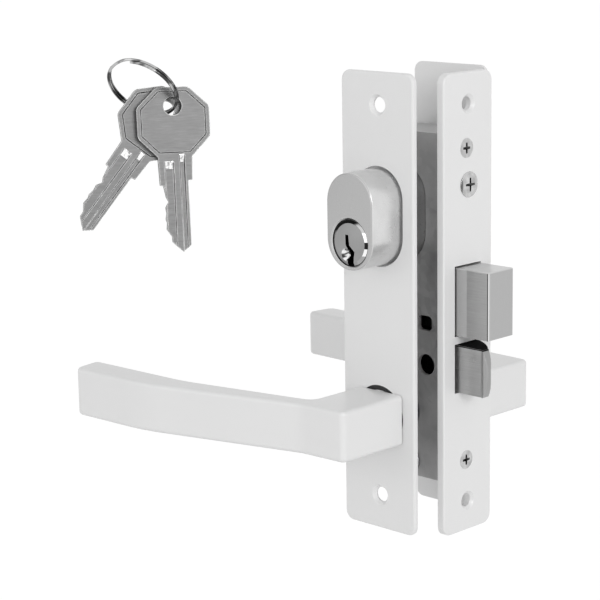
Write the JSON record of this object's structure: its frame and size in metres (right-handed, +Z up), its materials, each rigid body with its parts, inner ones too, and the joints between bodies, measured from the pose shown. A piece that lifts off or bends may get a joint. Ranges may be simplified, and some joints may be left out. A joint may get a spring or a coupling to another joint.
{
  "type": "mortise lock set",
  "caption": "Mortise lock for a narrow door stile with lever handles, oval key cylinder, deadbolt, bevelled latch and keys on a ring.",
  "frame": {"origin": "middle of the faceplate's back face, which seats on the door's edge, between its two fixing holes", "axes": "+X out of the door's edge, the way the bolts are thrown; +Z up; -Y towards the keyed side of the door"},
  "size_m": [0.1265, 0.1365, 0.1463],
  "materials": {
    "white_coat": "smooth satin powder coat",
    "zinc_sheet": "mottled grey galvanised sheet",
    "nickel": "satin nickel",
    "plated_bolt": "plated, lightly brushed",
    "screw_steel": "zinc plated",
    "inner_steel": "plain steel",
    "brass_pins": "turned",
    "spring_steel": "bright wire",
    "black_nylon": "moulded"
  },
  "bodies": {
    "lock_case": {"faceplate": "white_coat", "case_body": "zinc_sheet", "case_cover": "zinc_sheet", "case_rivets": "inner_steel", "faceplate_screws": "screw_steel", "cylinder_screw": "screw_steel", "bolt_guide_pin": "inner_steel", "bolt_divider": "zinc_sheet", "friction_strip": "spring_steel", "spring_guide": "inner_steel", "near_bush": "black_nylon", "far_bush": "black_nylon", "near_escutcheon": "white_coat", "far_escutcheon": "white_coat", "cylinder_body": "nickel", "driver_pins": "brass_pins", "pin_springs": "spring_steel", "key_ring": "spring_steel", "return_spring": "spring_steel"},
    "handles": {"near_lever": "white_coat", "far_lever": "white_coat", "spindle": "inner_steel", "follower_hub": "inner_steel", "grub_screws": "inner_steel"},
    "latch": {"latch_bolt": "plated_bolt", "latch_tail": "inner_steel", "latch_pins": "inner_steel"},
    "plunger": {"spring_plunger": "inner_steel"},
    "plug": {"cylinder_plug": "nickel", "cylinder_cam": "inner_steel", "cam_screw": "screw_steel", "key_pins": "brass_pins"},
    "deadbolt": {"deadbolt": "plated_bolt"},
    "first_key": {"key_front": "nickel"},
    "second_key": {"key_rear": "nickel"}
  },
  "joints": [
    {"name": "lever_turn", "type": "hinge", "parent": "lock_case", "child": "handles", "pos_m": [-0.0162, -0.0018, -0.0334], "axis": [0, -1, 0], "range_deg": [0, 42], "stiffness_Nm_per_rad": 0.6, "springref_deg": -20.05},
    {"name": "latch_slide", "type": "slide", "parent": "lock_case", "child": "latch", "axis": [-1, 0, 0], "range_m": [0, 0.011]},
    {"name": "plunger_slide", "type": "slide", "parent": "lock_case", "child": "plunger", "axis": [0, 0, -1], "range_m": [0, 0.0076], "deforming": ["return_spring"]},
    {"name": "plug_turn", "type": "hinge", "parent": "lock_case", "child": "plug", "pos_m": [-0.0162, -0.0018, 0.02154], "axis": [0, 1, 0], "range_deg": [0, 70]},
    {"name": "deadbolt_slide", "type": "slide", "parent": "lock_case", "child": "deadbolt", "axis": [-1, 0, 0], "range_m": [0, 0.0129]},
    {"name": "first_key_swing", "type": "hinge", "parent": "lock_case", "child": "first_key", "pos_m": [-0.06847, -0.05316, 0.0603], "axis": [0.822, -0.5539, 0.1323], "range_deg": [-12, 12]},
    {"name": "second_key_swing", "type": "hinge", "parent": "lock_case", "child": "second_key", "pos_m": [-0.07151, -0.05335, 0.05875], "axis": [0.822, -0.5539, 0.1323], "range_deg": [-12, 12]}
  ],
  "couplings": [
    {"joint": "latch_slide", "follows": "lever_turn", "m_per_rad": 0.015006},
    {"joint": "plunger_slide", "follows": "lever_turn", "m_per_rad": 0.010364},
    {"joint": "plug_turn", "follows": "deadbolt_slide", "rad_per_m": 94.7}
  ]
}
